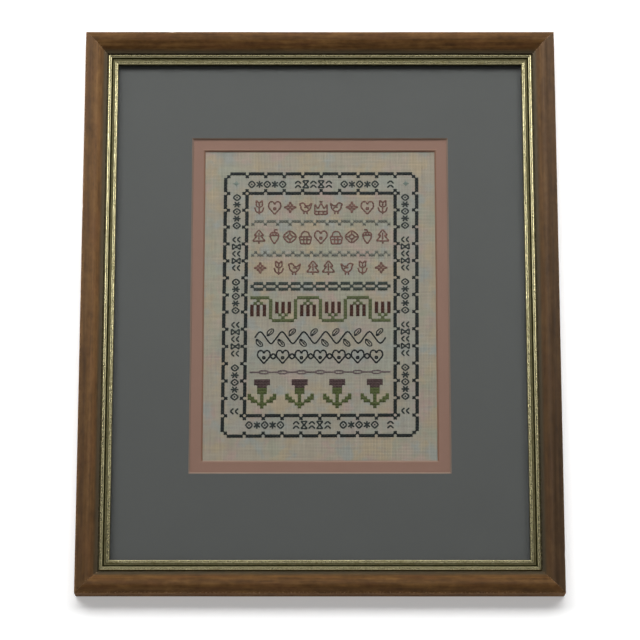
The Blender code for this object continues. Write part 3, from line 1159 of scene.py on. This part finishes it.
class SAMPLER_OT_mats(bpy.types.Operator):
    """Make the grey mat and the rose under mat with their bevelled windows"""

    bl_idname = "sampler.mats"
    bl_label = "Mats"

    def execute(self, context):
        finish = context.scene.sampler.finish
        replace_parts(window_mat("grey", GREY_WINDOW, finish.grey_mat, finish.grey_core), "mat_grey")
        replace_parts(window_mat("rose", ROSE_WINDOW, finish.rose_mat, finish.rose_core), "mat_rose")
        return {"FINISHED"}


class SAMPLER_OT_backing_board(bpy.types.Operator):
    """Make the plain backing board"""

    bl_idname = "sampler.backing_board"
    bl_label = "Backing board"

    def execute(self, context):
        points, faces = plate(*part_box("backing_board"), BOARD_EASED)
        material = board_finish(context.scene.sampler.finish.board)
        piece = make_piece("back_panel", points, faces, [material])
        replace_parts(piece, "backing_board")
        return {"FINISHED"}


def linen_rise(x, y):
    """How the stretched linen lies above or below its level: a sum of slow, crossing sine waves."""
    waves = (height * np.sin(x * right + y * up + start) for height, right, up, start in LINEN_WAVES)
    return MM * sum(waves)


def pooled_dye(cloth, x, y):
    """Where the blue dye pooled, from 0 to 1.

    It did so along the band between the borders, and in a wide patch below the middle: each is the
    exponential of less a power of the distance, in threads, from the line it follows.
    """
    column = (x - cloth.chart_left) / cloth.thread_across
    row = (cloth.chart_top - y) / cloth.thread_down
    inside = np.minimum(np.minimum(column, CHART_COLUMNS - column), np.minimum(row, CHART_ROWS - row))
    band = np.exp(-(((inside - BAND_MIDDLE) / BAND_REACH) ** 4))
    patch = np.exp(-(((row - POOL_ROW) / POOL_REACH) ** 2)) * (inside > FIRST_NODE)
    return POOLED * (band + patch)


class SAMPLER_OT_linen(bpy.types.Operator):
    bl_idname = "sampler.linen"
    bl_label = "Linen"

    def execute(self, context):
        cloth = context.scene.sampler.cloth
        columns, rows = LINEN_POINTS
        x, y, quads = grid(
            np.linspace(LINEN_LOW.x, LINEN_HIGH.x, columns), np.linspace(LINEN_LOW.y, LINEN_HIGH.y, rows)
        )
        top = np.stack((x, y, LINEN_TOP + linen_rise(x, y)), -1)
        numbers = {"pooled": pooled_dye(cloth, x, y)}
        piece = make_piece("linen", top, quads, [linen_finish(cloth)], numbers=numbers)
        solidify = piece.modifiers.new("thickness", "SOLIDIFY")
        solidify.thickness = LINEN_HIGH.z - LINEN_LOW.z
        solidify.offset = -1
        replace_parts(piece, "linen_cloth")
        return {"FINISHED"}


def thread_legs(start, end, width, height, lift, section, rng):
    """Stitches of thread as closed tubes, all at once.

    From start to end the middle goes straight. The body is 1 less the sixth power of the distance from the
    middle of the leg, so it is full for most of its length and dives into the linen at both ends. The
    section is as wide and as high as the body says, and lift raises the middle where a leg crosses another.
    Each leg has its own small differences. Gives the points of each leg, ring by ring, and the run along it.
    """
    count = len(start)
    along = end - start
    long = np.linalg.norm(along, axis=1)
    ahead = along / long[:, None]
    side = np.column_stack((-ahead[:, 1], ahead[:, 0]))
    body = 1 - np.abs(2 * LEG_PLACES - 1) ** 6
    thinned = LEG_END + (1 - LEG_END) * body
    broad = width * rng.uniform(*LEG_WIDTHS, count)
    tall = height * rng.uniform(*LEG_HEIGHTS, count)
    sway = rng.normal(0, LEG_SWAY, count)
    middle = start[:, None] + along[:, None] * LEG_PLACES[:, None]
    middle = middle + side[:, None] * (sway[:, None] * body)[..., None]
    level = LINEN_TOP + linen_rise(middle[..., 0], middle[..., 1])
    crossing = lift * np.exp(-(((LEG_PLACES - 0.5) / LEG_CROSSING) ** 2))
    half_width = broad[:, None] / 2 * thinned
    half_height = tall[:, None] / 2 * thinned
    centre = level + half_height + crossing - LEG_DIVE * (1 - body)
    flat = middle[:, :, None] + side[:, None, None] * (half_width[..., None] * section[:, 0])[..., None]
    z = centre[..., None] + half_height[..., None] * section[:, 1]
    return np.concatenate((flat, z[..., None]), -1), long[:, None] * LEG_PLACES


def thread_mesh(parts):
    """Points, faces, UV and tones of many legs joined. A part is its legs' points, their runs and tones."""
    points, faces, corners, tones = [], [], [], []
    offset = 0
    for legs, run, tone in parts:
        count, rings, around = legs.shape[:3]
        rings_at, columns_at = tube_corners(rings, around)
        quads = rings_at * around + columns_at % around
        base = offset + np.arange(count)[:, None, None] * rings * around
        faces.extend((base + quads).reshape(-1, 4).tolist())
        u = run[:, rings_at]
        v = np.broadcast_to(columns_at / around, u.shape)
        corners.append(np.stack((u, v), -1).reshape(-1, 2))
        first = base[:, 0] + np.arange(around)[::-1]
        last = base[:, 0] + (rings - 1) * around + np.arange(around)
        faces.extend(first.tolist())
        faces.extend(last.tolist())
        corners.append(np.zeros((2 * count * around, 2)))
        points.append(legs.reshape(-1, 3))
        tones.append(np.repeat(tone, rings * around))
        offset += count * rings * around
    return np.vstack(points), faces, np.vstack(corners), np.concatenate(tones)


def thread_tone(places, rng):
    """A tone from 0 to 1 for each stitch: slow changes over the chart, and a small one at each stitch."""
    slow = np.sin(places[:, 0] * 0.19 + 1.0) * np.cos(places[:, 1] * 0.13)
    return np.clip(0.5 + 0.22 * slow + rng.normal(0, 0.13, len(places)), 0, 1)


def on_linen(cloth, chart):
    """Places on the linen, in metres, of chart places in threads."""
    column, row = np.moveaxis(np.asarray(chart, float), -1, 0)
    shares = (column / CHART_COLUMNS, row / CHART_ROWS)
    x = cloth.chart_left + column * cloth.thread_across + laced(*shares, 0)
    y = cloth.chart_top - row * cloth.thread_down + laced(*shares, 1)
    return np.stack((x, y), -1)


def make_stitching(name, parts, colour):
    """One piece of joined legs of thread in one colour."""
    points, faces, corners, tones = thread_mesh(parts)
    material = thread_finish(f"thread_{name}", tuple(colour))
    return make_piece(
        f"stitch_{name}", points, faces, [material], corners, {"tone": tones}, angle=50
    )


def stitch_crosses(name, cells, colour, seed, slim=False):
    """Cross stitches whose upper left threads are the cells. The second leg lies over the first."""
    sampler = bpy.context.scene.sampler
    threads = sampler.threads
    rng = np.random.default_rng(seed)
    cells = np.unique(np.vstack(cells), axis=0)
    tone = thread_tone(cells, rng)
    corner = {key: on_linen(sampler.cloth, cells + offset) for key, offset in CROSS_CORNERS.items()}
    width = threads.slim_width if slim else threads.cross_width
    height = threads.cross_height
    lower = thread_legs(corner["lower left"], corner["upper right"], width, height, 0, TWO_LOBES, rng)
    rise = UPPER_LEG_RISE * height
    upper = thread_legs(corner["lower right"], corner["upper left"], width, height, rise, TWO_LOBES, rng)
    return make_stitching(name, ((*lower, tone), (*upper, tone + 0.05)), colour)


def stitch_lines(name, strokes, colour, seed, bold=False):
    """Backstitches along strokes of chart points, none longer than two threads."""
    sampler = bpy.context.scene.sampler
    threads, cloth = sampler.threads, sampler.cloth
    rng = np.random.default_rng(seed)
    starts, ends = [], []
    for stroke in strokes:
        for a, b in zip(stroke, stroke[1:]):
            count = max(1, math.ceil(np.abs(b - a).max() / 2))
            part = np.linspace(0, 1, count + 1)[:, None]
            dots = a + (b - a) * part
            reach = LINE_REACH * (b - a) / np.hypot(*(b - a))
            starts.append(dots[:-1] - reach)
            ends.append(dots[1:] + reach)
    starts, ends = np.vstack(starts), np.vstack(ends)
    width = threads.bold_width if bold else threads.line_width
    height = threads.bold_height if bold else threads.line_height
    section = TWO_LOBES if bold else ONE_LOBE
    legs = thread_legs(on_linen(cloth, starts), on_linen(cloth, ends), width, height, 0, section, rng)
    return make_stitching(name, ((*legs, thread_tone(starts, rng)),), colour)


def strokes_of(text):
    """Arrays of chart points from a motif's text."""
    strokes = [stroke.split() for stroke in text.split(";")]
    return [np.array([point.split(",") for point in stroke], float) for stroke in strokes if stroke]


def moved(strokes, column, row, mirror=None):
    """Strokes moved to a place on the chart, first mirrored within the width mirror if it is given."""
    flipped = strokes if mirror is None else [np.column_stack((mirror - s[:, 0], s[:, 1])) for s in strokes]
    return [s + (column, row) for s in flipped]


def repeated_lines(name):
    """Strokes of one of the line repeats."""
    text, column, row, step, times = LINE_REPEATS[name]
    return [s for k in range(times) for s in moved(strokes_of(text), column + step * k, row)]


def bar(column, row, count, down=False):
    """A run of crosses to the right, or down."""
    step = 2 * np.arange(count)[:, None]
    return np.array((column, row)) + step * ((0, 1) if down else (1, 0))


def repeated_crosses(name):
    """Runs of crosses of one of the cross repeats."""
    runs = []
    for column, row, count, step, times in CROSS_REPEATS[name]:
        runs += [bar(column + step * k, row, count) for k in range(times)]
    return runs


def charted(chart, part, places):
    """Crosses of one part of a chart, at each place of the chart's upper left corner."""
    row, column = np.nonzero(np.array([list(line) for line in chart]) == part)
    one = 2 * np.column_stack((column, row))
    return [one + corner for corner in places]


def tulips(part):
    """Crosses of one part of all tulips. The standing ones are the hanging ones upside down."""
    return charted(TULIP, part, HANGING_TULIPS) + charted(TULIP[::-1], part, STANDING_TULIPS)


def nodes_to(last):
    """The bare places on a border where two bars meet."""
    return np.arange(FIRST_NODE, last + 1, NODE_STEP)


def border_sides(inset, outer):
    """The bars of one border, five crosses each, from node to node, and on the outer one to its corners."""
    far_column, far_row = CHART_COLUMNS - 2 - inset, CHART_ROWS - 2 - inset
    starts_across = list(nodes_to(LAST_NODE_COLUMN)[:-1] + 2)
    starts_down = list(nodes_to(LAST_NODE_ROW)[:-1] + 2)
    if outer:
        starts_across += [CORNER_BAR, LAST_NODE_COLUMN + 2]
        starts_down += [CORNER_BAR, LAST_NODE_ROW + 2]
    bars = [bar(start, row, BAR_CROSSES) for start in starts_across for row in (inset, far_row)]
    for column in (inset, far_column):
        bars += [bar(column, start, BAR_CROSSES, down=True) for start in starts_down]
    return bars


def border_points(inset):
    """The single crosses beside the nodes of one border, at inset threads from the chart's edge."""
    far_column, far_row = CHART_COLUMNS - 2 - inset, CHART_ROWS - 2 - inset
    across = [bar(node, row, 1) for node in nodes_to(LAST_NODE_COLUMN) for row in (inset, far_row)]
    down = [bar(column, node, 1) for node in nodes_to(LAST_NODE_ROW) for column in (inset, far_column)]
    return across + down


class SAMPLER_OT_borders(bpy.types.Operator):
    """Stitch the outer and the inner border"""

    bl_idname = "sampler.borders"
    bl_label = "Borders"

    def execute(self, context):
        colour = context.scene.sampler.threads.border
        far_column, far_row = CHART_COLUMNS - 4, CHART_ROWS - 4
        corners = [bar(column, row, 1) for column in (2, far_column) for row in (2, far_row)]
        outer = border_sides(0, True) + border_points(2) + corners
        inner = border_sides(FIRST_NODE, False) + border_points(FIRST_NODE - 2)
        stitch_crosses("outer_border", outer, colour, 1)
        stitch_crosses("inner_border", inner, colour, 2)
        return {"FINISHED"}


def band_run(motifs, start, end):
    """The repeat from start to end, as many whole places as fit, in the middle of the stretch."""
    count = (end - start + 1) // BAND_PITCH
    first = round(start + (end - start + 1 - count * BAND_PITCH) / 2)
    strokes = []
    for i in range(count):
        strokes += moved(motifs[BAND_REPEAT[i % len(BAND_REPEAT)]], first + BAND_PITCH * i, 0)
    return strokes


class SAMPLER_OT_band(bpy.types.Operator):
    """Stitch the running line motifs between the two borders, and two small corner stars"""

    bl_idname = "sampler.band"
    bl_label = "Band between the borders"

    def execute(self, context):
        threads = context.scene.sampler.threads
        motifs = {key: strokes_of(text) for key, text in BAND_MOTIFS.items()}
        across = band_run(motifs, FIRST_NODE, LAST_NODE_COLUMN + 2)
        down = band_run(motifs, FIRST_NODE, LAST_NODE_ROW + 2)
        inset = BAND_EDGE + BAND_HEIGHT
        strokes = moved(across, 0, BAND_EDGE) + moved(across, 0, CHART_ROWS - inset)
        for column in (BAND_EDGE, CHART_COLUMNS - inset):
            strokes += [np.column_stack((column + s[:, 1], s[:, 0])) for s in down]
        stitch_lines("band_motifs", strokes, threads.band, 3, bold=True)
        star = strokes_of(CORNER_STAR)
        far_column = CHART_COLUMNS - BAND_EDGE - CORNER_STAR_WIDTH
        stars = moved(star, BAND_EDGE, BAND_EDGE) + moved(star, far_column, BAND_EDGE)
        stitch_lines("corner_stars", stars, threads.corner_star, 4)
        return {"FINISHED"}


class SAMPLER_OT_spot_motifs(bpy.types.Operator):
    """Stitch the three rows of small rose motifs"""

    bl_idname = "sampler.spot_motifs"
    bl_label = "Spot motifs"

    def execute(self, context):
        strokes = []
        for row, step, motifs in SPOT_ROWS:
            names = motifs.split()
            first = CHART_COLUMNS / 2 - SPOT_WIDTH / 2 - step * (len(names) - 1) / 2
            for i, name in enumerate(names):
                mirror = SPOT_WIDTH if i >= (len(names) + 1) // 2 else None
                strokes += moved(strokes_of(SPOT_MOTIFS[name]), round(first + step * i), row, mirror)
        stitch_lines("spot_motifs", strokes, context.scene.sampler.threads.spots, 5, bold=True)
        return {"FINISHED"}


class SAMPLER_OT_dividers(bpy.types.Operator):
    """Stitch the two dividers, the chain and the lilac line"""

    bl_idname = "sampler.dividers"
    bl_label = "Dividers"

    def execute(self, context):
        threads = context.scene.sampler.threads
        rows = (("upper_divider", 6, True), ("middle_divider", 7, True), ("chain", 8, False))
        for name, seed, slim in rows:
            stitch_crosses(name, repeated_crosses(name), getattr(threads, name), seed, slim)
        strokes = repeated_lines("lilac_links") + repeated_lines("lilac_end")
        stitch_lines("lilac_line", strokes, threads.lilac, 9, bold=True)
        return {"FINISHED"}


class SAMPLER_OT_tulips(bpy.types.Operator):
    """Stitch the meander and the tulips that hang and stand in it"""

    bl_idname = "sampler.tulips"
    bl_label = "Tulips"

    def execute(self, context):
        threads = context.scene.sampler.threads
        uprights = [bar(column, UPRIGHT_ROW, UPRIGHT_CROSSES, down=True) for column in UPRIGHTS]
        stems = repeated_crosses("meander") + uprights + tulips("s")
        stitch_crosses("meander", stems, threads.meander, 10)
        stitch_crosses("petals", tulips("p"), threads.petals, 11)
        return {"FINISHED"}


class SAMPLER_OT_navy_bands(bpy.types.Operator):
    """Stitch the vine and its leaves, and the row of hearts and diamonds under them, in navy"""

    bl_idname = "sampler.navy_bands"
    bl_label = "Vine and hearts"

    def execute(self, context):
        colour = context.scene.sampler.threads.navy
        stitch_lines("vine", repeated_lines("vine"), colour, 12, bold=True)
        stitch_lines("vine_leaves", repeated_lines("vine_leaves"), colour, 16)
        strokes = repeated_lines("hearts") + repeated_lines("diamonds")
        stitch_lines("hearts", strokes, colour, 13, bold=True)
        return {"FINISHED"}


class SAMPLER_OT_thistles(bpy.types.Operator):
    """Stitch the four thistles"""

    bl_idname = "sampler.thistles"
    bl_label = "Thistles"

    def execute(self, context):
        threads = context.scene.sampler.threads
        stitch_crosses("thistle_heads", charted(THISTLE, "d", THISTLES), threads.thistle_head, 14)
        stitch_crosses("thistle_leaves", charted(THISTLE, "g", THISTLES), threads.thistle_leaf, 15)
        return {"FINISHED"}


def soft_light(name, location, aim, sides, watts):
    """A soft rectangular light that faces a point."""
    data = bpy.data.lights.new(name, "AREA")
    data.shape = "RECTANGLE"
    data.size, data.size_y = sides
    data.energy = watts
    lamp = add_object(name, data)
    lamp.location = location
    away = np.subtract(location, aim)
    flat = math.hypot(away[0], away[1])
    lamp.rotation_euler = (math.atan2(flat, away[2]), 0.0, math.atan2(away[0], -away[1]))
    return lamp


def studio_sky(stage):
    """Pale where the camera sees it. Its light is four times stronger from the walls than from overhead.

    The light falls off upwards in proportion to the height, and the glow is added as a smooth step towards
    the top edge.
    """
    world = bpy.data.worlds.new("studio")
    world.use_nodes = True
    sky = Nodes(world.node_tree)
    _, y, z = sky.axes(sky.node("ShaderNodeTexCoord"))
    walls = (4 - z.of("MAXIMUM", 0.0) * 3) * stage.ambient
    strength = walls + y.between(*GLOW_BETWEEN) * stage.glow
    dim = sky.node("ShaderNodeBackground", None, {"Color": WHITE, "Strength": strength})
    pale = sky.node("ShaderNodeBackground", None, {"Color": opaque(stage.floor)})
    seen = sky.node("ShaderNodeLightPath")
    both = sky.node("ShaderNodeMixShader", None, {0: seen, 1: dim, 2: pale})
    sky.feed(sky.tree.nodes["World Output"].inputs["Surface"], both)
    sky.tree.nodes.remove(sky.tree.nodes["Background"])
    return world


class SAMPLER_OT_stage(bpy.types.Operator):
    """Make the pale floor, the soft lights and the camera"""

    bl_idname = "sampler.stage"
    bl_label = "Stage"

    def execute(self, context):
        scene = context.scene
        stage = scene.sampler.stage
        places = np.linspace(-FLOOR_REACH, FLOOR_REACH, FLOOR_POINTS)
        x, y, quads = grid(places, places)
        mesh = bpy.data.meshes.new("floor")
        mesh.from_pydata(np.stack((x, y, np.zeros_like(x)), -1).reshape(-1, 3), [], quads)
        mesh.materials.append(floor_finish(tuple(stage.floor)))
        add_object("floor", mesh)
        for name, location, aim, sides in LIGHTS:
            lamp = soft_light(name, location, aim, sides, getattr(stage, name))
            lamp.visible_glossy = name != "key"
        scene.world = studio_sky(stage)
        scene.view_settings.view_transform = "Standard"
        data = bpy.data.cameras.new("camera")
        data.lens = stage.lens
        data.sensor_width = SENSOR_WIDTH
        camera = add_object("camera", data)
        camera.location = CAMERA_PLACE
        camera.rotation_euler = (stage.lean, 0.0, 0.0)
        scene.camera = camera
        return {"FINISHED"}


STEPS = (
    SAMPLER_OT_moulding,
    SAMPLER_OT_gilt_slip,
    SAMPLER_OT_glass,
    SAMPLER_OT_mats,
    SAMPLER_OT_backing_board,
    SAMPLER_OT_borders,
    SAMPLER_OT_band,
    SAMPLER_OT_spot_motifs,
    SAMPLER_OT_dividers,
    SAMPLER_OT_tulips,
    SAMPLER_OT_navy_bands,
    SAMPLER_OT_thistles,
    SAMPLER_OT_linen,
    SAMPLER_OT_stage,
)


class SAMPLER_PT_panel(bpy.types.Panel):
    """Lists the steps and the settings of the sampler in the sidebar."""

    bl_idname = "SAMPLER_PT_panel"
    bl_label = "Sampler"
    bl_space_type = "VIEW_3D"
    bl_region_type = "UI"
    bl_category = "Sampler"

    def draw(self, context):
        for step in STEPS:
            self.layout.operator(step.bl_idname)
        sampler = context.scene.sampler
        for group in (sampler.threads, sampler.cloth, sampler.finish, sampler.stage):
            box = self.layout.box()
            for key in group.__annotations__:
                box.prop(group, key)


CLASSES = (
    SamplerThreads,
    SamplerCloth,
    SamplerFrameFinish,
    SamplerStage,
    SamplerSettings,
    *STEPS,
    SAMPLER_PT_panel,
)


def register():
    for cls in CLASSES:
        bpy.utils.register_class(cls)
    bpy.types.Scene.sampler = PointerProperty(type=SamplerSettings)


def unregister():
    del bpy.types.Scene.sampler
    for cls in reversed(CLASSES):
        bpy.utils.unregister_class(cls)


def main():
    register()
    for step in STEPS:
        group, name = step.bl_idname.split(".")
        getattr(getattr(bpy.ops, group), name)()


if __name__ == "__main__":
    main()
